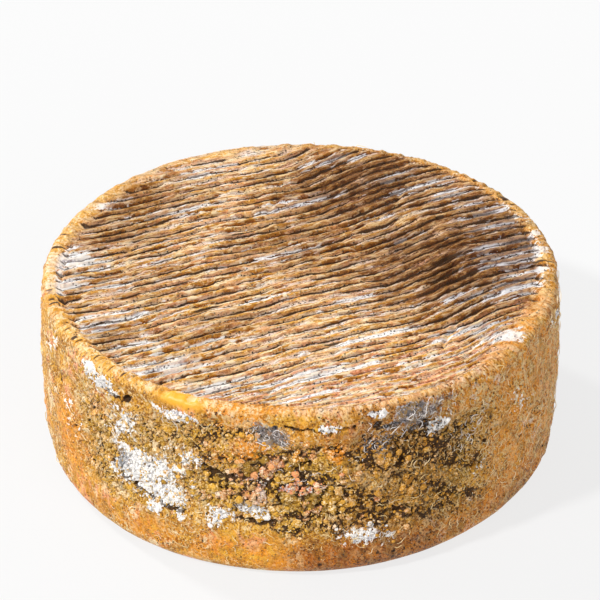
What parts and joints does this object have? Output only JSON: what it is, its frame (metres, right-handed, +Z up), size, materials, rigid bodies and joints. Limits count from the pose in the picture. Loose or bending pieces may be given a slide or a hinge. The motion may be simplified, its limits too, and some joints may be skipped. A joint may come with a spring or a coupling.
{
  "type": "cheese wheel",
  "caption": "Whole round wheel of washed-rind cheese with a ridged reed-mat print across its top, a crusty bellied wall and a flat underside to stand on.",
  "frame": {"origin": "middle of the flat underside, which is the middle of the wheel's box on X and Y", "axes": "+Z up through the wheel, +X along the ridges of the mat's print on the upper face; the pictured side faces -Y and a little -X"},
  "size_m": [0.2406, 0.2388, 0.0872],
  "materials": {
    "rind": null
  },
  "bodies": {
    "root": {"cheese_wheel": "rind"}
  },
  "joints": []
}
